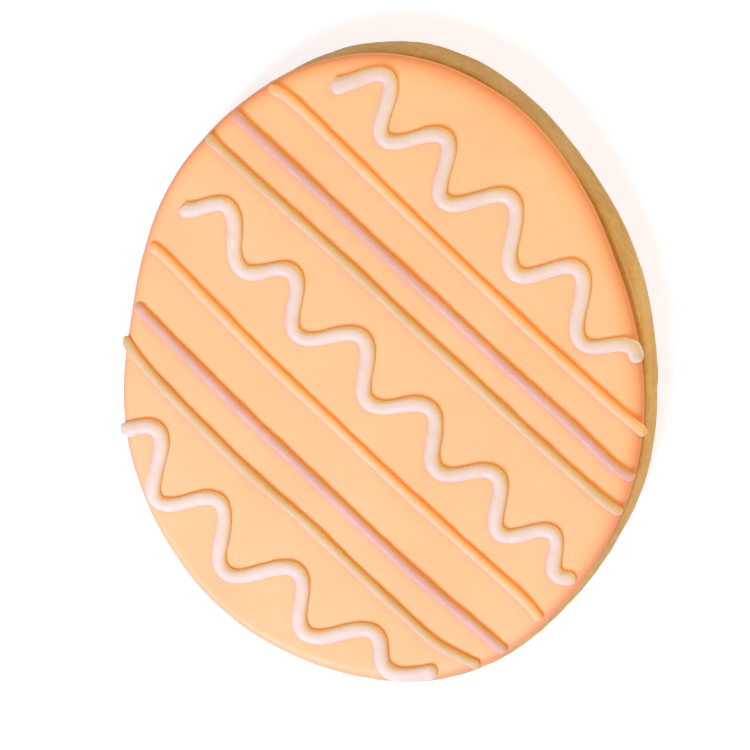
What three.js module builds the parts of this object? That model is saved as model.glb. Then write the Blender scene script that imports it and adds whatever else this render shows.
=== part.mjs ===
// An egg-shaped butter cookie flooded with peach icing and piped with two groups of three
// straight lines and three wavy lines between them. Millimetres, +Z up.
//
// It lies on its flat baked underside with the iced face up. The egg's long axis runs along Y,
// its narrow end at +Y, and the origin is the centre of the underside.

import * as THREE from 'three';
import { LoftGeometry } from 'three/addons/geometries/LoftGeometry.js';

// ---- the biscuit ----

const eggLength = 90;
const eggWidth = 75.5;
const biscuitThickness = 5.5;
const biscuitBelly = 1.6; // height at which the side stands out furthest
const biscuitTopRound = 1; // how far the top edge pulls in
const biscuitFootRound = 0.35; // how far the bottom edge pulls in
const biscuitEdgePower = 2.6; // superellipse power of the side: higher is squarer

// What a hand-held cutter and the oven add to a plain ellipse: each lobe moves the outline out and
// in by its size, that many times round, with its first peak at the angle `turn`. One lobe only
// shifts the outline, three make one end narrower, and the rest are unevenness.
const outlineLobes = [
	{ count: 1, size: 0.66, turn: - 89.7 },
	{ count: 2, size: 0.48, turn: 57.4 },
	{ count: 3, size: 0.42, turn: - 31 },
	{ count: 4, size: 0.13, turn: 0.7 },
	{ count: 5, size: 0.27, turn: 0.4 },
	{ count: 6, size: 0.17, turn: 26.4 },
	{ count: 7, size: 0.16, turn: - 20.1 },
	{ count: 8, size: 0.05, turn: 16.6 }
];

// ---- the flood icing ----

const icingMargin = 0.68; // mean width of the bare biscuit round the icing
const marginLobes = [ // how that width varies round the egg
	{ count: 1, size: 0.35, turn: 0.6 },
	{ count: 2, size: 0.1, turn: 32.9 },
	{ count: 3, size: 0.11, turn: 30.3 },
	{ count: 4, size: 0.08, turn: 13 },
	{ count: 5, size: 0.09, turn: 16.7 },
	{ count: 6, size: 0.12, turn: 22.1 },
	{ count: 7, size: 0.1, turn: - 25.2 },
	{ count: 8, size: 0.06, turn: - 13.1 }
];
// Where the icing has run out nearly to the biscuit's edge: by how much, at what angle, how widely.
const icingOverrun = { size: 0.6, turn: 118, spread: 26 };
const icingThickness = 1.85; // at the shoulder
const icingShoulder = 2.8; // width of the rounded shoulder
const icingShoulderPower = 2.1; // superellipse power of the shoulder: 2 is an ellipse
const icingFoot = 0.35; // how far the icing's bulging side pulls in where it meets the biscuit
const icingFootHeight = 0.55;
const icingDome = 0.25; // rise from the shoulder to the middle

// ---- the piped lines ----

const bandAngle = -42.2; // the lines' direction, anticlockwise from X
const pipingGap = 0.1; // between the icing and the underside of a line
const overhangFloor = 0.3; // nearer the icing's edge than this, a line no longer sinks with the shoulder

const straightLine = { width: 1.35, height: 0.72 };
const wavyLine = { width: 2.05, height: 0.78 };

// Points that each straight line passes through, along and across the band, from tip to tip.
const straightLines = [
	{
		name: 'cream_line_upper', colour: 'cream',
		points: [
			[ - 38.2, 18.9 ], [ - 37.2, 19.5 ], [ - 34, 19.76 ], [ - 24, 19.64 ], [ - 12, 19.4 ], [ 0, 19.25 ],
			[ 12, 19.17 ], [ 24, 19.3 ], [ 30, 19.45 ], [ 32.5, 19.2 ]
		]
	},
	{
		name: 'lilac_line_upper', colour: 'lilac',
		points: [
			[ - 39.1, 12.55 ], [ - 36, 12.57 ], [ - 24, 12.79 ], [ - 12, 12.81 ], [ 0, 12.9 ],
			[ 12, 12.98 ], [ 24, 13.24 ], [ 32, 13.1 ], [ 35.4, 13.45 ]
		]
	},
	{
		name: 'mint_line_upper', colour: 'mint',
		points: [
			[ - 39.7, 7.35 ], [ - 34, 7.52 ], [ - 24, 7.72 ], [ - 12, 7.99 ], [ 0, 7.95 ],
			[ 12, 8.1 ], [ 24, 8.15 ], [ 33, 8.35 ], [ 37.4, 8.6 ]
		]
	},
	{
		name: 'cream_line_lower', colour: 'cream',
		points: [
			[ - 35.4, - 10.1 ], [ - 33, - 9.7 ], [ - 24, - 10.05 ], [ - 12, - 10.5 ], [ 0, - 10.5 ],
			[ 12, - 10.55 ], [ 24, - 10.4 ], [ 36, - 10.2 ], [ 39.6, - 10.9 ]
		]
	},
	{
		name: 'lilac_line_lower', colour: 'lilac',
		points: [
			[ - 31.2, - 17.8 ], [ - 24, - 18 ], [ - 12, - 18.4 ], [ 0, - 18.45 ], [ 12, - 18.5 ],
			[ 24, - 18.4 ], [ 34, - 17.9 ], [ 39.1, - 17.8 ]
		]
	},
	{
		name: 'mint_line_lower', colour: 'mint',
		points: [
			[ - 29.3, - 22.6 ], [ - 26, - 23.3 ], [ - 20, - 23.9 ], [ - 10, - 24.3 ], [ - 1, - 24.3 ],
			[ 6, - 23.95 ], [ 14, - 24 ], [ 24, - 24 ], [ 31, - 23.85 ], [ 34.5, - 23 ], [ 37.8, - 21.9 ]
		]
	}
];

// A wavy line's turning points, along and across the band. It runs from the fraction `from` of its
// first leg to the fraction `to` of its last.
const waveFullness = 0.6; // above 0, the turns are rounder than a cosine's
const wavyLines = [
	{
		name: 'white_wave_upper', from: 0.15, to: 0.4,
		turns: [
			[ - 32.8, 24.9 ], [ - 27.1, 31.7 ], [ - 21.7, 24.9 ], [ - 15.6, 31.1 ], [ - 9.9, 24.3 ],
			[ - 3.3, 31.2 ], [ 4.1, 23.8 ], [ 10.1, 30.4 ], [ 17.4, 23 ], [ 22.9, 27.3 ], [ 27.4, 23.4 ]
		]
	},
	{
		name: 'white_wave_middle', from: 0, to: 0.45,
		turns: [
			[ - 35.9, - 2.8 ], [ - 31.2, 2.1 ], [ - 23.8, - 3.2 ], [ - 18.4, 1.6 ], [ - 12, - 4.6 ],
			[ - 5.1, 1.7 ], [ 1.6, - 4.6 ], [ 8.5, 0.9 ], [ 15, - 5 ], [ 21.4, 0.5 ], [ 27.3, - 5.4 ],
			[ 32.6, - 0.1 ], [ 37, - 4.2 ], [ 41.5, - 0.5 ]
		]
	},
	{
		name: 'white_wave_lower', from: 0.52, to: 0.65,
		turns: [
			[ - 24.5, - 38 ], [ - 17.2, - 29.1 ], [ - 10.4, - 36.8 ], [ - 4.1, - 30.5 ], [ 3.2, - 37.6 ],
			[ 10.6, - 30.1 ], [ 17.1, - 36 ], [ 24.4, - 28.9 ], [ 28.9, - 31.6 ], [ 37, - 25 ]
		]
	}
];

// ---- finishes ----

const finishes = {
	biscuit: { color: 0xd8ae70, roughness: 0.85 },
	icing: { color: 0xfec896, roughness: 0.5 },
	cream: { color: 0xfcd3a8, roughness: 0.45 },
	lilac: { color: 0xeabbae, roughness: 0.45 },
	mint: { color: 0xefcba3, roughness: 0.45 },
	white: { color: 0xf9e3d6, roughness: 0.45 }
};

// ---- resolution ----

const outlineSteps = 84;
const biscuitSideSteps = 8;
const shoulderSteps = 6;
const domeRings = [ 0.82, 0.6, 0.36, 0.12 ]; // fractions of the way out to the shoulder
const beadSteps = 6; // facets over the top of a line
const smallestTip = 0.3; // the size of the last section of a line, as a fraction of the whole
const straightStep = 4.5;
const shoulderStep = 0.5;
const shoulderStations = 6;
const waveStepsPerLeg = 8;

const centre = new THREE.Vector2();

// How far a list of lobes moves an outline in a given direction.
function lobed( angle, lobes ) {

	return lobes.reduce( ( total, { count, size, turn } ) => {

		return total + size * Math.cos( count * ( angle - THREE.MathUtils.degToRad( turn ) ) );

	}, 0 );

}

// Distance from the egg's centre to the biscuit's outline in a given direction.
function outlineReach( angle ) {

	const a = eggWidth / 2;
	const b = eggLength / 2;
	const ellipse = a * b / Math.hypot( b * Math.cos( angle ), a * Math.sin( angle ) );
	return ellipse + lobed( angle, outlineLobes );

}

// A level ring of points, anticlockwise from above, at a distance that depends on the direction.
function ring( reachAt, height ) {

	return Array.from( { length: outlineSteps }, ( _, i ) => {

		const angle = i / outlineSteps * 2 * Math.PI;
		return new THREE.Vector3( Math.cos( angle ), Math.sin( angle ), 0 )
			.multiplyScalar( reachAt( angle ) ).setZ( height );

	} );

}

// Fractions of a superellipse's quarter turn: how far along each half axis the point has got.
function superellipse( turn, power ) {

	return { across: Math.cos( turn ) ** ( 2 / power ), up: Math.sin( turn ) ** ( 2 / power ) };

}

// The biscuit's side stands out furthest at the belly and pulls in to a small round below it and a
// wide one above it.
function biscuitGeometry() {

	const sections = Array.from( { length: biscuitSideSteps + 1 }, ( _, i ) => {

		const tilt = ( i / biscuitSideSteps * 2 - 1 ) * Math.PI / 2;
		const side = superellipse( Math.abs( tilt ), biscuitEdgePower );
		const pulledIn = ( tilt < 0 ? biscuitFootRound : biscuitTopRound ) * ( 1 - side.across );
		const reachAt = ( angle ) => outlineReach( angle ) - pulledIn;
		const belowOrAbove = tilt < 0 ? - biscuitBelly : biscuitThickness - biscuitBelly;
		return ring( reachAt, biscuitBelly + belowOrAbove * side.up );

	} );
	return new LoftGeometry( sections, { capStart: true, capEnd: true } );

}

function icingReach( angle ) {

	const away = ( THREE.MathUtils.radToDeg( angle ) - icingOverrun.turn ) / icingOverrun.spread;
	const overrun = icingOverrun.size * Math.exp( - away * away );
	return outlineReach( angle ) - icingMargin - lobed( angle, marginLobes ) + overrun;

}

function domeRise( fractionOut ) {

	return icingDome * ( 1 - fractionOut ** 2 );

}

// The icing bulges over its foot, rounds over the shoulder and rises in a low dome.
function icingGeometry() {

	const base = biscuitThickness;
	const sections = [ ring( ( angle ) => icingReach( angle ) - icingFoot, base ) ];
	for ( let i = 0; i <= shoulderSteps; i ++ ) {

		const turn = i / shoulderSteps * Math.PI / 2;
		const shoulder = superellipse( turn, icingShoulderPower );
		const pulledIn = icingShoulder * ( 1 - shoulder.across );
		const height = icingFootHeight + ( icingThickness - icingFootHeight ) * shoulder.up;
		sections.push( ring( ( angle ) => icingReach( angle ) - pulledIn, base + height ) );

	}

	for ( const fraction of domeRings ) {

		const reachAt = ( angle ) => ( icingReach( angle ) - icingShoulder ) * fraction;
		sections.push( ring( reachAt, base + icingThickness + domeRise( fraction ) ) );

	}

	return new LoftGeometry( sections, { capStart: true, capEnd: true } );

}

// How far a point of the plan is inside the icing's edge, towards the egg's centre.
function insideEdge( point ) {

	return icingReach( point.angle() ) - point.length();

}

// The height of a piped line's underside over a point of the plan: it lies on the icing, and past
// the shoulder it reaches out without sinking further.
function restingHeight( point ) {

	const inside = Math.max( insideEdge( point ), overhangFloor );
	const out = 1 - Math.min( inside / icingShoulder, 1 );
	const risen = ( 1 - out ** icingShoulderPower ) ** ( 1 / icingShoulderPower );
	const shoulder = icingFootHeight + ( icingThickness - icingFootHeight ) * risen;
	const fractionOut = point.length() / ( icingReach( point.angle() ) - icingShoulder );
	return biscuitThickness + shoulder + domeRise( Math.min( fractionOut, 1 ) ) + pipingGap;

}

// From a place along and across the band to a point of the plan.
function inPlan( along, across ) {

	return new THREE.Vector2( along, across ).rotateAround( centre, THREE.MathUtils.degToRad( bandAngle ) );

}

// A line's sections shrink to a rounded tip over half its width at both ends.
function tipScale( fromEnd, reach ) {

	const part = Math.min( fromEnd / reach, 1 );
	return Math.max( Math.sqrt( 1 - ( 1 - part ) ** 2 ), smallestTip );

}

// A line of icing: half an ellipse with its underside on the icing, carried along the path.
function pipedGeometry( path, { width, height } ) {

	const travelled = [ 0 ];
	for ( let i = 1; i < path.length; i ++ ) {

		travelled.push( travelled[ i - 1 ] + path[ i ].distanceTo( path[ i - 1 ] ) );

	}

	const total = travelled.at( - 1 );
	const sections = path.map( ( point, i ) => {

		const ahead = path[ Math.min( i + 1, path.length - 1 ) ];
		const behind = path[ Math.max( i - 1, 0 ) ];
		const heading = ahead.clone().sub( behind ).normalize();
		const right = new THREE.Vector2( heading.y, - heading.x );
		const scale = tipScale( Math.min( travelled[ i ], total - travelled[ i ] ), width / 2 );
		const at = ( sideways, rise ) => {

			const place = point.clone().addScaledVector( right, sideways * scale * width / 2 );
			return new THREE.Vector3( place.x, place.y, restingHeight( place ) + rise * scale * height );

		};
		const over = Array.from( { length: beadSteps + 1 }, ( _, k ) => {

			const turn = k / beadSteps * Math.PI;
			return at( - Math.cos( turn ), Math.sin( turn ) );

		} );
		return [ ...over, at( 0, 0 ) ];

	} );
	return new LoftGeometry( sections, { capStart: true, capEnd: true } );

}

// A straight line is a smooth curve through its points, with close stations over both shoulders.
function straightPath( { points } ) {

	const curve = new THREE.SplineCurve( points.map( ( [ along, across ] ) => inPlan( along, across ) ) );
	const length = curve.getLength();
	const shoulder = Array.from( { length: shoulderStations }, ( _, i ) => i * shoulderStep );
	const inner = shoulder.at( - 1 );
	const steps = Math.round( ( length - 2 * inner ) / straightStep );
	const middle = Array.from( { length: steps - 1 }, ( _, i ) => {

		return inner + ( length - 2 * inner ) * ( i + 1 ) / steps;

	} );
	const stations = [
		...shoulder, ...middle,
		...shoulder.reverse().map( ( distance ) => length - distance )
	];
	return stations.map( ( distance ) => curve.getPointAt( distance / length ) );

}

// A wavy line swings from one turning point to the next along a flattened half cosine.
function wavePath( { turns, from, to } ) {

	const legs = turns.length - 1;
	const first = Math.round( from * waveStepsPerLeg );
	const last = ( legs - 1 ) * waveStepsPerLeg + Math.round( to * waveStepsPerLeg );
	return Array.from( { length: last - first + 1 }, ( _, i ) => {

		const leg = Math.min( Math.floor( ( first + i ) / waveStepsPerLeg ), legs - 1 );
		const part = ( first + i ) / waveStepsPerLeg - leg;
		const flattened = Math.tanh( - waveFullness * Math.cos( Math.PI * part ) ) / Math.tanh( waveFullness );
		const swing = ( 1 + flattened ) / 2;
		const [ a, b ] = [ turns[ leg ], turns[ leg + 1 ] ];
		return inPlan( a[ 0 ] + ( b[ 0 ] - a[ 0 ] ) * part, a[ 1 ] + ( b[ 1 ] - a[ 1 ] ) * swing );

	} );

}

function named( name, geometry, finish ) {

	const material = new THREE.MeshStandardMaterial( { ...finishes[ finish ], metalness: 0 } );
	const mesh = new THREE.Mesh( geometry, material );
	mesh.name = name;
	return mesh;

}

const cookie = new THREE.Group();
cookie.add( named( 'biscuit', biscuitGeometry(), 'biscuit' ) );
cookie.add( named( 'base_icing', icingGeometry(), 'icing' ) );
for ( const line of straightLines ) {

	cookie.add( named( line.name, pipedGeometry( straightPath( line ), straightLine ), line.colour ) );

}

for ( const wave of wavyLines ) {

	cookie.add( named( wave.name, pipedGeometry( wavePath( wave ), wavyLine ), 'white' ) );

}

export default cookie;
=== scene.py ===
"""The looks of an egg-shaped iced butter cookie, lying on a pale floor with its iced face up.

Shapes are worked out in millimetres as grids of points and made into meshes in metres.
The cookie's frame: +Z up through the iced face, +Y along the egg towards its narrow end.
"""
import itertools
import math

import bpy
import numpy as np
from mathutils import Matrix, Vector


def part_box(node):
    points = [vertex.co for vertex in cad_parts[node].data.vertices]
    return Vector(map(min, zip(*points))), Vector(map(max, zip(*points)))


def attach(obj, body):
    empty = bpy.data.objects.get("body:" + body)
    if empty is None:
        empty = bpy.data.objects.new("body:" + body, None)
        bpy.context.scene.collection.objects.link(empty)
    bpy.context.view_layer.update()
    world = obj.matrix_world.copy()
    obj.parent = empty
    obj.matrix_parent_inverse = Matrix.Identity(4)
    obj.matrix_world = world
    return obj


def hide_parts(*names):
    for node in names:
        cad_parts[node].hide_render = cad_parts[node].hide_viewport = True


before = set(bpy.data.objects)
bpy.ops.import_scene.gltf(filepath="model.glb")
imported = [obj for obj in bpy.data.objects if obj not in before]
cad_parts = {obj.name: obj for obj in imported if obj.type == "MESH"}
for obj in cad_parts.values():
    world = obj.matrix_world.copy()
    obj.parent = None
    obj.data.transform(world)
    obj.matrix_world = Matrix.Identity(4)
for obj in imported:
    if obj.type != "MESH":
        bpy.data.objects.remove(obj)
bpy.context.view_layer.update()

MM = 0.001

# ---- the biscuit ----

EGG_LENGTH = 90.0
EGG_WIDTH = 75.5
# Each lobe moves the outline by its size, so many times round, with a first peak at its angle.
OUTLINE_LOBES = (
    (1, 0.66, -89.7), (2, 0.48, 57.4), (3, 0.42, -31.0), (4, 0.13, 0.7),
    (5, 0.27, 0.4), (6, 0.17, 26.4), (7, 0.16, -20.1), (8, 0.05, 16.6),
)
BISCUIT_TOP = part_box("biscuit")[1][2] / MM
BISCUIT_BELLY = 1.6
BISCUIT_TOP_ROUND = 1.0
BISCUIT_FOOT_ROUND = 0.35
BISCUIT_EDGE_POWER = 2.6
# For each size of crumb: how far it stands out, how wide it is, its seed.
CRUMBS = ((0.10, 4.5, 21), (0.07, 1.6, 22), (0.05, 0.7, 23))
UNDERSIDE_PIT_DEPTH = 0.12

# ---- the flood icing ----

ICING_MARGIN = 0.68
MARGIN_LOBES = (
    (1, 0.35, 0.6), (2, 0.10, 32.9), (3, 0.11, 30.3), (4, 0.08, 13.0),
    (5, 0.09, 16.7), (6, 0.12, 22.1), (7, 0.10, -25.2), (8, 0.06, -13.1),
)
# Where the icing has run out nearly to the biscuit's edge: by how much, at what angle, how widely.
OVERRUN, OVERRUN_TURN, OVERRUN_SPREAD = 0.6, 118.0, 26.0
ICING_THICKNESS = 1.75
ICING_SHOULDER = 3.0
SHOULDER_LOBES = ((1, 1.6, 30.0), (3, 0.2, 70.0))
ICING_SHOULDER_POWER = 2.0
ICING_FOOT = 0.35
ICING_FOOT_HEIGHT = 0.55
ICING_DOME = 0.38
ICING_DOME_POWER = 3.0
ICING_SUNK = 0.15
ICING_UNEVENNESS, ICING_HILL_WIDTH = 0.04, 9.0
# Heights over the biscuit between which the icing's colour is darkened, the lower the darker: painted shade
# on its rounded edge.
EDGE_SHADE_START, EDGE_SHADE_END = 1.72, 0.9

# ---- the piped lines ----

BAND_ANGLE = math.radians(-42.2)
STRAIGHT_WIDTH = 1.33
STRAIGHT_HEIGHT = 0.7
STRAIGHT_WAIST = 0.3
WAVE_WIDTH = 2.05
WAVE_HEIGHT = 0.79
WAVE_WAIST = 0.06
WAVE_FULLNESS = 0.6
BEAD_POWER = 2.4
# A line's width wanders by these shares over these lengths, and its height by more.
BEAD_WANDERS = ((0.06, 3.5), (0.03, 1.2))
BEAD_HEIGHT_WANDER = 1.5
SWELL_LENGTH = 2.0
LINE_GAP = 0.02

# name, colour, points along and across the band
STRAIGHT_LINES = (
    ("cream_line_upper", "cream", (
        (-37.5, 18.3), (-37.0, 19.1), (-34.0, 19.76), (-24.0, 19.64), (-12.0, 19.4), (0.0, 19.25),
        (12.0, 19.17), (24.0, 19.3), (30.0, 19.45), (32.5, 19.2))),
    ("lilac_line_upper", "lilac", (
        (-39.1, 12.55), (-36.0, 12.57), (-24.0, 12.79), (-12.0, 12.81), (0.0, 12.9),
        (12.0, 12.98), (24.0, 13.24), (32.0, 13.1), (35.4, 13.45))),
    ("mint_line_upper", "mint", (
        (-39.7, 7.35), (-34.0, 7.52), (-24.0, 7.72), (-12.0, 7.99), (0.0, 7.95),
        (12.0, 8.1), (24.0, 8.15), (33.0, 8.35), (37.4, 8.6))),
    ("cream_line_lower", "cream", (
        (-35.4, -10.1), (-33.0, -9.7), (-24.0, -10.05), (-12.0, -10.5), (0.0, -10.5),
        (12.0, -10.55), (24.0, -10.4), (36.0, -10.2), (39.6, -10.9))),
    ("lilac_line_lower", "lilac", (
        (-31.2, -17.8), (-24.0, -18.0), (-12.0, -18.4), (0.0, -18.45), (12.0, -18.5),
        (24.0, -18.4), (34.0, -17.9), (39.1, -17.8))),
    ("mint_line_lower", "mint", (
        (-29.3, -22.6), (-26.0, -23.3), (-20.0, -23.9), (-10.0, -24.3), (-1.0, -24.3),
        (6.0, -23.95), (14.0, -24.0), (24.0, -24.0), (31.0, -23.85), (34.5, -23.0), (37.8, -21.9))),
)

# name, fraction of the first leg where it begins, of the last where it ends, swell at its start,
# turning points
WAVY_LINES = (
    ("white_wave_upper", 0.15, 0.4, 0.28, (
        (-32.8, 24.9), (-27.1, 31.7), (-21.7, 24.9), (-15.6, 31.1), (-9.9, 24.3), (-3.3, 31.2),
        (4.1, 23.8), (10.1, 30.4), (17.4, 23.0), (22.9, 27.3), (27.4, 23.4))),
    ("white_wave_middle", 0.0, 0.45, 0.1, (
        (-35.9, -2.8), (-31.2, 2.1), (-23.8, -3.2), (-18.4, 1.6), (-12.0, -4.6), (-5.1, 1.7),
        (1.6, -4.6), (8.5, 0.9), (15.0, -5.0), (21.4, 0.5), (27.3, -5.4), (32.6, -0.1),
        (37.0, -4.2), (41.5, -0.5))),
    ("white_wave_lower", 0.52, 0.65, 0.0, (
        (-24.5, -38.0), (-17.2, -29.1), (-10.4, -36.8), (-4.1, -30.5), (3.2, -37.6),
        (10.6, -30.1), (17.1, -36.0), (24.4, -28.9), (28.9, -31.6), (37.0, -25.0))),
)

# ---- resolution ----

ROUND_STEPS = 720
BEAD_STEPS = 24
BEAD_STATION = 0.2
TIP_STEPS = 9
LEG_STEPS = 40
SPLINE_STEPS = 40


# ---- shape functions, all in millimetres ----

def hills(points, size, seed):
    """Smooth random hills from -1 to 1: seeded values on a cubic lattice of this cell size,
    blended along each axis by the smooth step 3t^2 - 2t^3."""
    lattice = np.random.default_rng(seed).uniform(-1, 1, (64, 64, 64))
    cell = np.floor(points / size).astype(int)
    part = points / size - cell
    part = part * part * (3 - 2 * part)
    total = np.zeros(points.shape[:-1])
    for corner in itertools.product((0, 1), repeat=3):
        share = np.prod(np.where(corner, part, 1 - part), axis=-1)
        total += share * lattice[tuple(np.moveaxis((cell + corner) % 64, -1, 0))]
    return total


def lobed(angle, lobes):
    """A wandering amount round the egg: one cosine for each lobe, added up."""
    return sum(size * np.cos(count * (angle - math.radians(turn))) for count, size, turn in lobes)


def outline_reach(angle):
    """Distance from the egg's centre to the biscuit's edge: the polar radius of an ellipse, plus
    the outline's lobes."""
    half_width, half_length = EGG_WIDTH / 2, EGG_LENGTH / 2
    ellipse = half_width * half_length / np.hypot(half_length * np.cos(angle), half_width * np.sin(angle))
    return ellipse + lobed(angle, OUTLINE_LOBES)


def icing_reach(angle):
    """Distance from the centre to the icing's edge: the biscuit's, less a margin with its own lobes
    and a fine wobble, plus a bell curve where the icing has run out."""
    around = np.stack([np.cos(angle), np.sin(angle), np.zeros_like(angle)], axis=-1)
    margin = ICING_MARGIN + lobed(angle, MARGIN_LOBES) + 0.1 * hills(around * 40, 6, seed=11)
    overrun = OVERRUN * np.exp(-((np.degrees(angle) - OVERRUN_TURN) / OVERRUN_SPREAD) ** 2)
    return outline_reach(angle) - margin + overrun


def shoulder_width(angle):
    """Width of the icing's rounded shoulder: wider where it has run down towards the upper right."""
    return ICING_SHOULDER + lobed(angle, SHOULDER_LOBES)


def icing_unevenness(x, y):
    """The share by which the icing is thicker or thinner than its plain shape: low wide hills."""
    return ICING_UNEVENNESS * hills(np.stack([x, y, 0 * x], axis=-1), ICING_HILL_WIDTH, seed=12)


def icing_height(x, y):
    """Height of the icing over a point of the plan: a superellipse quarter over the shoulder, a dome
    that falls off as a power of the way out, all of it scaled by low wide hills."""
    angle = np.arctan2(y, x)
    out = np.hypot(x, y)
    reach = icing_reach(angle)
    wide = shoulder_width(angle)
    inside = np.maximum(reach - out, 0.02)
    across = 1 - np.minimum(inside / wide, 1)
    risen = (1 - across ** ICING_SHOULDER_POWER) ** (1 / ICING_SHOULDER_POWER)
    shoulder = ICING_FOOT_HEIGHT + (ICING_THICKNESS - ICING_FOOT_HEIGHT) * risen
    fraction = np.minimum(out / (reach - wide), 1)
    dome = ICING_DOME * (1 - fraction ** ICING_DOME_POWER)
    return (shoulder + dome) * (1 + icing_unevenness(x, y))


def in_plan(along, across):
    """From places along and across the band to the plan: a turn by the band's angle."""
    cos, sin = math.cos(BAND_ANGLE), math.sin(BAND_ANGLE)
    return np.stack([along * cos - across * sin, along * sin + across * cos], axis=-1)


def straight_route(points):
    """A line through its points as a uniform Catmull-Rom curve: between two points, a cubic that
    leaves each of them along the way from its neighbour before to its neighbour after."""
    points = np.array(points)
    padded = np.concatenate([points[:1], points, points[-1:]])[:, None]
    before, here, there, after = padded[:-3], padded[1:-2], padded[2:-1], padded[3:]
    part = np.linspace(0, 1, SPLINE_STEPS, endpoint=False)[:, None]
    curve = here + part / 2 * (there - before + part * (
        2 * before - 5 * here + 4 * there - after + part * (3 * (here - there) + after - before)))
    curve = np.concatenate([curve.reshape(-1, 2), points[-1:]])
    return in_plan(curve[:, 0], curve[:, 1])


def wavy_route(start, finish, turns):
    """A wave through its turning points: between two of them the place along the band grows
    evenly and the place across it follows the hyperbolic tangent of a half cosine, scaled."""
    turns = np.array(turns)
    legs = len(turns) - 1
    travel = np.linspace(start, legs - 1 + finish, round((legs - 1) * LEG_STEPS))
    leg = np.minimum(travel.astype(int), legs - 1)
    part = travel - leg
    swing = np.tanh(-WAVE_FULLNESS * np.cos(math.pi * part)) / math.tanh(WAVE_FULLNESS)
    a, b = turns[leg], turns[leg + 1]
    along = a[:, 0] + (b[:, 0] - a[:, 0]) * part
    across = (a[:, 1] + b[:, 1]) / 2 + (b[:, 1] - a[:, 1]) / 2 * swing
    return in_plan(along, across)


def on_icing_surface(plan):
    """Points of the plan lifted onto the icing, in the cookie's frame."""
    height = BISCUIT_TOP + icing_height(plan[:, 0], plan[:, 1])
    return np.column_stack([plan, height])


def icing_normal(plan):
    """Unit normals of the icing: up, less the height's slope by central differences."""
    reach = 0.05
    x, y = plan[:, 0], plan[:, 1]
    slope_x = (icing_height(x + reach, y) - icing_height(x - reach, y)) / (2 * reach)
    slope_y = (icing_height(x, y + reach) - icing_height(x, y - reach)) / (2 * reach)
    return unit(np.column_stack([-slope_x, -slope_y, np.ones_like(x)]))


def unit(vectors):
    """Vectors scaled to length one."""
    return vectors / np.linalg.norm(vectors, axis=-1, keepdims=True)


def resampled(points, stations, distance):
    """Points read off a polyline at given distances along it."""
    return np.column_stack([np.interp(stations, distance, points[:, k]) for k in range(points.shape[1])])


def bead_points(route, width, height, waist_share, seed, swell_start=0.0):
    """A line of icing: at each station a half superellipse over a waist at a share of its height,
    drawn in below it to a flat foot that lies on the icing. Width and height wander a little, swell
    as a bell curve where the line begins, and shrink at both tips as a quarter circle."""
    lifted = on_icing_surface(route)
    distance = np.concatenate([[0], np.cumsum(np.linalg.norm(np.diff(lifted, axis=0), axis=1))])
    total = distance[-1]
    tip = width / 2
    tip_places = tip * (1 - np.cos(np.linspace(0, math.pi / 2, TIP_STEPS)))
    middle = np.linspace(tip, total - tip, round(total / BEAD_STATION))[1:-1]
    stations = np.concatenate([tip_places, middle, total - tip_places[::-1]])
    centre = resampled(lifted, stations, distance)
    heading = unit(np.gradient(centre, stations + 1e-6 * np.arange(len(stations)), axis=0))
    sideways = unit(np.column_stack([-heading[:, 1], heading[:, 0]]))

    from_end = np.minimum(np.minimum(stations, total - stations) / tip, 1)
    round_off = np.sqrt(1 - (1 - from_end) ** 2)
    walk = np.column_stack([stations, 0 * stations, 0 * stations])
    wander = sum(share * hills(walk, length, seed + order)
                 for order, (share, length) in enumerate(BEAD_WANDERS))
    swell = 1 + swell_start * np.exp(-(stations / SWELL_LENGTH) ** 2)
    half = (width / 2 * (1 + wander) * round_off * swell)[:, None]
    crown = (height * (1 + BEAD_HEIGHT_WANDER * wander) * round_off * swell)[:, None]
    turn = np.linspace(0, 2 * math.pi, BEAD_STEPS, endpoint=False)
    up = np.sin(turn)
    square = np.where(up > 0, 2 / BEAD_POWER, 1)
    beside = np.sign(np.cos(turn)) * np.abs(np.cos(turn)) ** square
    waist = waist_share * crown
    lifted_up = waist + (crown - waist) * np.maximum(up, 0) ** square
    rise = LINE_GAP + np.where(up > 0, lifted_up, waist * np.maximum(1 + 2 * up, 0))
    plan = centre[:, None, :2] + (half * beside)[..., None] * sideways[:, None]
    foot = on_icing_surface(plan.reshape(-1, 2))
    points = foot + rise.reshape(-1, 1) * icing_normal(plan.reshape(-1, 2))
    return points.reshape(*rise.shape, 3)


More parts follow.
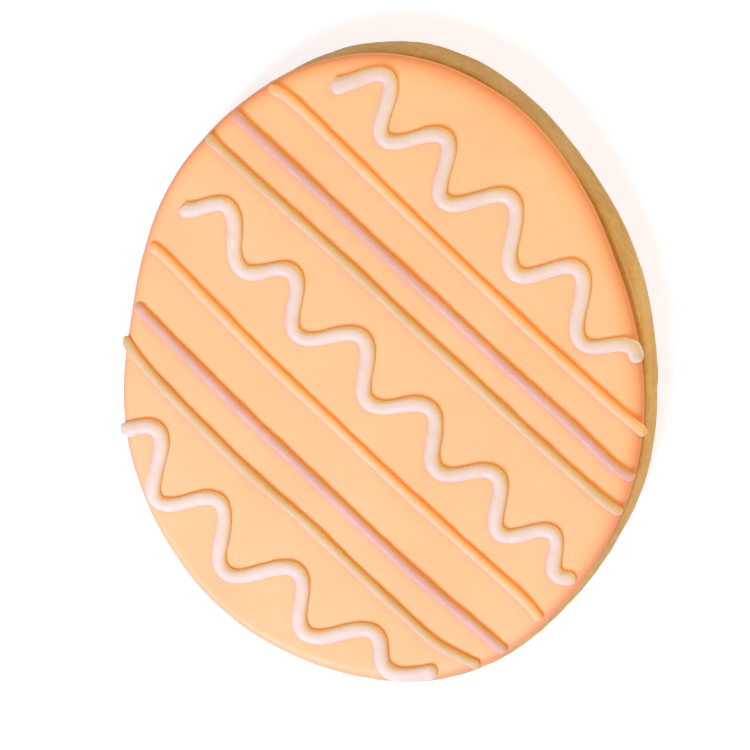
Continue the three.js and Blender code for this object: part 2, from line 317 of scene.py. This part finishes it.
def icing_points():
    """The flood icing from its hidden underside round the foot, over the shoulder and up the
    dome: rings round the egg whose distance from the edge and height follow quarter turns."""
    angle = np.linspace(0, 2 * math.pi, ROUND_STEPS, endpoint=False)
    reach = icing_reach(angle)
    turn = np.linspace(0, math.pi / 2, 16)[:, None]
    under = np.linspace(0, 1, 6)[:, None] * (reach - ICING_FOOT)
    side = reach - ICING_FOOT * (1 - np.sin(turn[1:]))
    wide = shoulder_width(angle)
    pulled_in = wide * (1 - np.cos(turn[1:]) ** (2 / ICING_SHOULDER_POWER))
    shoulder = reach - pulled_in
    top = np.linspace(1, 0, 70)[1:, None] * (reach - wide)
    out = np.concatenate([under, side, shoulder, top])
    x, y = out * np.cos(angle), out * np.sin(angle)
    under_z = np.full_like(under, -ICING_SUNK)
    side_z = -ICING_SUNK + (ICING_FOOT_HEIGHT + ICING_SUNK) * (1 - np.cos(turn[1:])) + 0 * side
    risen = np.sin(turn[1:]) ** (2 / ICING_SHOULDER_POWER)
    shoulder_z = ICING_FOOT_HEIGHT + (ICING_THICKNESS - ICING_FOOT_HEIGHT) * risen + 0 * shoulder
    fraction = np.linspace(1, 0, 70)[1:, None]
    top_z = ICING_THICKNESS + ICING_DOME * (1 - fraction ** ICING_DOME_POWER) + 0 * top
    height = np.concatenate([under_z, side_z, shoulder_z, top_z])
    above = np.clip(height / ICING_FOOT_HEIGHT, 0, 1)
    height = height * (1 + icing_unevenness(x, y) * above)
    return np.stack([x, y, BISCUIT_TOP + height], axis=-1)


def biscuit_points():
    """The biscuit from its flat underside round the side to its top: the side is two superellipse
    quarters that meet at the belly, a short one below and a tall one above. Crumbs of several sizes
    move the side in and out, and small pits go up into the underside."""
    angle = np.linspace(0, 2 * math.pi, ROUND_STEPS, endpoint=False)
    reach = outline_reach(angle)
    tilt = np.concatenate([np.linspace(-math.pi / 2, 0, 14)[:-1], np.linspace(0, math.pi / 2, 34)])[:, None]
    edge_round = np.where(tilt < 0, BISCUIT_FOOT_ROUND, BISCUIT_TOP_ROUND)
    edge_height = np.where(tilt < 0, BISCUIT_BELLY, BISCUIT_TOP - BISCUIT_BELLY)
    side = reach - edge_round * (1 - np.cos(tilt) ** (2 / BISCUIT_EDGE_POWER))
    risen = np.sign(tilt) * np.abs(np.sin(tilt)) ** (2 / BISCUIT_EDGE_POWER)
    side_z = BISCUIT_BELLY + edge_height * risen + 0 * side
    under = np.linspace(0, 1, 50)[:-1, None] ** 0.8 * (reach - BISCUIT_FOOT_ROUND)
    top = np.linspace(1, 0, 24)[1:, None] ** 1.6 * (reach - BISCUIT_TOP_ROUND)
    out = np.concatenate([under, side, top])
    height = np.concatenate([0 * under, side_z, 0 * top + BISCUIT_TOP])
    points = np.stack([out * np.cos(angle), out * np.sin(angle), height], axis=-1)
    crumb = sum(size * hills(points, wide, seed) for size, wide, seed in CRUMBS)
    crumb = crumb - 0.08 * np.clip(hills(points, 1.1, 24) * 3 - 1.4, 0, 1)
    slant = np.concatenate([0 * under[:, :1], np.cos(tilt), 0 * top[:, :1]])
    outward = np.stack([np.cos(angle) + 0 * out, np.sin(angle) + 0 * out, 0 * out], axis=-1)
    points = points + (np.minimum(crumb - 0.05, 0.05) * slant)[..., None] * outward
    pits = np.clip(hills(points, 1.3, 25) * 2.5 - 1.2, 0, 1) * UNDERSIDE_PIT_DEPTH
    on_underside = np.concatenate([0 * under[:, :1] + 1, 0 * tilt, 0 * top[:, :1]])
    points[..., 2] += pits * on_underside
    return points


# ---- meshes ----

def piece_from_rings(name, points, node, material):
    """A closed mesh from rings of points: quads between rings, and the first and last ring each
    drawn together to one point. It rides on the cookie's body in place of the CAD node."""
    rings, steps = points.shape[:2]
    inner = points[1:-1].reshape(-1, 3)
    poles = points[[0, -1]].mean(axis=1)
    vertices = np.concatenate([inner, poles]) * MM
    index = np.arange((rings - 2) * steps).reshape(rings - 2, steps)
    following = np.roll(index, -1, axis=1)
    quads = np.stack([index[:-1], following[:-1], following[1:], index[1:]], axis=-1).reshape(-1, 4)
    first, last = len(inner), len(inner) + 1
    start_fan = np.stack([following[0], index[0], np.full(steps, first)], axis=-1)
    end_fan = np.stack([index[-1], following[-1], np.full(steps, last)], axis=-1)
    corners = np.concatenate([quads.ravel(), start_fan.ravel(), end_fan.ravel()])
    sizes = np.concatenate([np.full(len(quads), 4), np.full(2 * steps, 3)])
    starts = np.concatenate([[0], np.cumsum(sizes)[:-1]])

    mesh = bpy.data.meshes.new(name)
    mesh.vertices.add(len(vertices))
    mesh.vertices.foreach_set("co", vertices.astype(np.float32).ravel())
    mesh.loops.add(len(corners))
    mesh.loops.foreach_set("vertex_index", corners.astype(np.int32))
    mesh.polygons.add(len(sizes))
    mesh.polygons.foreach_set("loop_start", starts.astype(np.int32))
    mesh.polygons.foreach_set("use_smooth", np.ones(len(sizes), dtype=bool))
    mesh.update(calc_edges=True)
    mesh.validate()
    mesh.materials.append(material)
    piece = bpy.data.objects.new(name, mesh)
    bpy.context.scene.collection.objects.link(piece)
    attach(piece, "root")
    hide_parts(node)
    return piece


# ---- materials ----

def linear(red, green, blue):
    """An sRGB colour of 0 to 255 as the shader's linear colour: the piecewise sRGB curve."""
    parts = np.array([red, green, blue]) / 255
    curve = np.where(parts <= 0.04045, parts / 12.92, ((parts + 0.055) / 1.055) ** 2.4)
    return (*curve, 1.0)


class Finish:
    """A material's node tree, with short calls to add and join its nodes."""

    def __init__(self, name):
        self.material = bpy.data.materials.new(name)
        self.material.use_nodes = True
        self.tree = self.material.node_tree
        self.shader = self.tree.nodes["Principled BSDF"]
        self.place = self.add("ShaderNodeTexCoord").outputs["Object"]

    def add(self, kind, **settings):
        node = self.tree.nodes.new(kind)
        for key, value in settings.items():
            setattr(node, key, value)
        return node

    def join(self, source, target):
        self.tree.links.new(source, target)

    def noise(self, size, detail=2.0, roughness=0.5):
        """Noise whose features are about this many millimetres across."""
        node = self.add("ShaderNodeTexNoise")
        node.inputs["Scale"].default_value = 1 / (size * MM)
        node.inputs["Detail"].default_value = detail
        node.inputs["Roughness"].default_value = roughness
        self.join(self.place, node.inputs["Vector"])
        return node.outputs["Fac"]

    def towards(self, heading, start, end):
        """A value that grows from 0 to 1 along a heading, between two distances in mm."""
        reached = self.add("ShaderNodeVectorMath", operation="DOT_PRODUCT")
        reached.inputs[1].default_value = heading
        self.join(self.place, reached.inputs[0])
        node = self.add("ShaderNodeMapRange", interpolation_type="SMOOTHSTEP")
        node.inputs["From Min"].default_value = start * MM
        node.inputs["From Max"].default_value = end * MM
        self.join(reached.outputs["Value"], node.inputs["Value"])
        return node.outputs["Result"]

    def ramp(self, source, *stops):
        """A colour ramp from pairs of position and colour."""
        node = self.add("ShaderNodeValToRGB")
        elements = node.color_ramp.elements
        while len(elements) < len(stops):
            elements.new(0.5)
        for element, (position, colour) in zip(elements, stops):
            element.position = position
            element.color = colour
        self.join(source, node.inputs["Fac"])
        return node.outputs["Color"]

    def spread(self, source, low, high):
        """A value from 0.3..0.7, the bulk of a noise, onto low..high."""
        node = self.add("ShaderNodeMapRange")
        node.inputs["From Min"].default_value = 0.3
        node.inputs["From Max"].default_value = 0.7
        node.inputs["To Min"].default_value = low
        node.inputs["To Max"].default_value = high
        self.join(source, node.inputs["Value"])
        return node.outputs["Result"]

    def mixed(self, factor, first, second, blend="MIX"):
        """Two colours mixed by a factor, each colour a socket or a value."""
        node = self.add("ShaderNodeMix", data_type="RGBA", blend_type=blend)
        for socket, value in ((node.inputs[0], factor), (node.inputs[6], first), (node.inputs[7], second)):
            if isinstance(value, bpy.types.NodeSocket):
                self.join(value, socket)
            else:
                socket.default_value = value
        return node.outputs[2]

    def relief(self, *layers):
        """Bumps stacked on each other, from pairs of a height source and its depth in mm."""
        normal = None
        for source, depth in layers:
            bump = self.add("ShaderNodeBump")
            bump.inputs["Distance"].default_value = depth * MM
            self.join(source, bump.inputs["Height"])
            if normal:
                self.join(normal, bump.inputs["Normal"])
            normal = bump.outputs["Normal"]
        self.join(normal, self.shader.inputs["Normal"])

    def glow_through(self, weight, depth, reach):
        """Light that enters and comes out again: depth in mm, with a share for each colour."""
        self.shader.inputs["Subsurface Weight"].default_value = weight
        self.shader.inputs["Subsurface Scale"].default_value = depth * MM
        self.shader.inputs["Subsurface Radius"].default_value = reach


def sugar_icing(name, pale, deep, painted_edge_shade=False):
    """Dried sugar icing: soft patches of two near colours, satin, faintly grained, glowing. With painted
    edge shade, the flood icing's colour is darkened down its rounded edge, the lower the darker."""
    finish = Finish(name)
    patches = finish.mixed(0.35, finish.noise(11, 1.0), finish.noise(3.5, 2.0))
    colour = finish.ramp(patches, (0.38, linear(*pale)), (0.62, linear(*deep)))
    if painted_edge_shade:
        # Painted shade: the colour is multiplied darker down the icing's rounded edge, by height over the
        # biscuit.
        edge_shade_share = finish.towards((0.0, 0.0, -1.0), -BISCUIT_TOP - EDGE_SHADE_START,
                                 -BISCUIT_TOP - EDGE_SHADE_END)
        edge_shaded_colour = finish.mixed(1.0, colour, (0.68, 0.6, 0.64, 1), "MULTIPLY")
        colour = finish.mixed(edge_shade_share, colour, edge_shaded_colour)
    finish.join(colour, finish.shader.inputs["Base Color"])
    finish.join(finish.spread(finish.noise(1.6), 0.4, 0.55), finish.shader.inputs["Roughness"])
    finish.relief((finish.noise(1.1, 3.0), 0.02), (finish.noise(0.25, 2.0), 0.008))
    finish.glow_through(0.15, 0.7, (1.0, 0.3, 0.1))
    finish.shader.inputs["Specular IOR Level"].default_value = 0.3
    return finish.material


def baked_dough(name):
    """Baked butter dough: golden in patches, darkened towards the egg's narrow end as painted shade, with
    crumbs.
    """
    finish = Finish(name)
    patches = finish.mixed(0.4, finish.noise(6, 3.0, 0.6), finish.noise(1.2, 3.0, 0.6))
    colour = finish.ramp(patches, (0.34, linear(192, 162, 103)), (0.5, linear(203, 176, 119)),
                         (0.66, linear(211, 189, 137)))
    # Painted shade: the dough's colour is multiplied darker towards the egg's narrow end.
    narrow_end_shade = finish.towards((0.1, 1.0, 0.0), 8, 42)
    colour = finish.mixed(narrow_end_shade, colour, finish.mixed(1.0, colour, (0.72, 0.72, 0.78, 1), "MULTIPLY"))
    specks = finish.ramp(finish.noise(0.5, 2.0), (0.36, (1, 1, 1, 1)), (0.3, (0, 0, 0, 1)))
    colour = finish.mixed(0.12, colour, specks, "MULTIPLY")
    finish.join(colour, finish.shader.inputs["Base Color"])
    finish.join(finish.spread(finish.noise(2), 0.7, 0.95), finish.shader.inputs["Roughness"])
    finish.relief((finish.noise(0.9, 4.0, 0.65), 0.12), (finish.noise(0.22, 3.0), 0.04))
    finish.glow_through(0.25, 0.9, (1.0, 0.5, 0.2))
    finish.shader.inputs["Specular IOR Level"].default_value = 0.2
    return finish.material


def lit_table(name, colour, glow, strength):
    """The floor's matt surface with a very faint tone change, lit from below as a light table is."""
    finish = Finish(name)
    tone = finish.ramp(finish.noise(80, 2.0), (0.3, (*[c * 0.985 for c in colour], 1)), (0.7, (*colour, 1)))
    finish.join(tone, finish.shader.inputs["Base Color"])
    finish.shader.inputs["Roughness"].default_value = 0.9
    finish.shader.inputs["Emission Color"].default_value = (*glow, 1)
    finish.shader.inputs["Emission Strength"].default_value = strength
    return finish.material


# ---- the cookie ----

piece_from_rings("baked_biscuit", biscuit_points(), "biscuit", baked_dough("baked_dough"))
piece_from_rings("flood_icing", icing_points(), "base_icing",
                 sugar_icing("peach_icing", (250, 196, 147), (249, 192, 142), painted_edge_shade=True))

PIPING = {
    "cream": sugar_icing("cream_icing", (250, 199, 157), (248, 193, 147)),
    "lilac": sugar_icing("lilac_icing", (204, 178, 172), (198, 171, 164)),
    "mint": sugar_icing("mint_icing", (205, 193, 156), (199, 186, 147)),
    "white": sugar_icing("white_icing", (213, 213, 206), (207, 207, 199)),
}
for order, (name, colour, places) in enumerate(STRAIGHT_LINES):
    points = bead_points(straight_route(places), STRAIGHT_WIDTH, STRAIGHT_HEIGHT, STRAIGHT_WAIST,
                         40 + 3 * order)
    piece_from_rings("piped_" + name, points, name, PIPING[colour])
for order, (name, start, finish, swell, turns) in enumerate(WAVY_LINES):
    points = bead_points(wavy_route(start, finish, turns), WAVE_WIDTH, WAVE_HEIGHT, WAVE_WAIST,
                         70 + 3 * order, swell)
    piece_from_rings("piped_" + name, points, name, PIPING["white"])


# ---- the floor, the light and the camera ----

def pale_floor():
    """A flat square under the cookie."""
    mesh = bpy.data.meshes.new("pale_floor")
    half, level = 3.0, -0.05 * MM
    corners = [(-half, -half, level), (half, -half, level), (half, half, level), (-half, half, level)]
    mesh.from_pydata(corners, [], [(0, 1, 2, 3)])
    mesh.materials.append(lit_table("pale_floor", (0.5, 0.5, 0.4), (0.7, 0.82, 1.0), 0.8))
    floor = bpy.data.objects.new("pale_floor", mesh)
    bpy.context.scene.collection.objects.link(floor)


def direction(azimuth, elevation):
    """The unit vector towards an azimuth and elevation in degrees."""
    turn, rise = math.radians(azimuth), math.radians(elevation)
    return Vector((math.cos(turn) * math.cos(rise), math.sin(turn) * math.cos(rise), math.sin(rise)))


def soft_light(name, azimuth, elevation, distance, size, power, colour):
    """A square soft light that faces the cookie."""
    lamp = bpy.data.lights.new(name, "AREA")
    lamp.size = size
    lamp.energy = power
    lamp.color = colour
    light = bpy.data.objects.new(name, lamp)
    towards = direction(azimuth, elevation)
    light.location = towards * distance
    light.rotation_euler = towards.to_track_quat("Z", "Y").to_euler()
    bpy.context.scene.collection.objects.link(light)


def photo_camera():
    """A long lens at the photo's angle: turned to its azimuth, tipped to its elevation, rolled."""
    camera_data = bpy.data.cameras.new("photo_camera")
    camera_data.sensor_width = 36
    camera_data.lens = 519.9
    camera_data.clip_start = 0.1
    camera_data.clip_end = 20
    camera = bpy.data.objects.new("photo_camera", camera_data)
    right = Vector((0.9725, -0.0109, -0.2327))
    up = Vector((-0.0467, 0.9695, -0.2404))
    back = Vector((0.2283, 0.2447, 0.9424))
    turn = Matrix((right, up, back)).transposed().to_4x4()
    camera.matrix_world = Matrix.Translation(Vector((341.2, 366.2, 1420.2)) * MM) @ turn
    bpy.context.scene.collection.objects.link(camera)
    bpy.context.scene.camera = camera


def studio_world(colour, strength):
    """Even light from all round."""
    world = bpy.data.worlds.new("studio")
    world.use_nodes = True
    background = world.node_tree.nodes["Background"]
    background.inputs["Color"].default_value = (*colour, 1)
    background.inputs["Strength"].default_value = strength
    bpy.context.scene.world = world


pale_floor()
soft_light("key_light", 238, 44, 1.0, 0.34, 12.4, (0.64, 0.69, 1.0))
soft_light("warm_fill", 46, 28, 1.0, 0.8, 5.7, (1.0, 0.73, 0.29))
studio_world((1.0, 0.51, 0.18), 0.69)
photo_camera()
bpy.context.scene.view_settings.view_transform = "Standard"
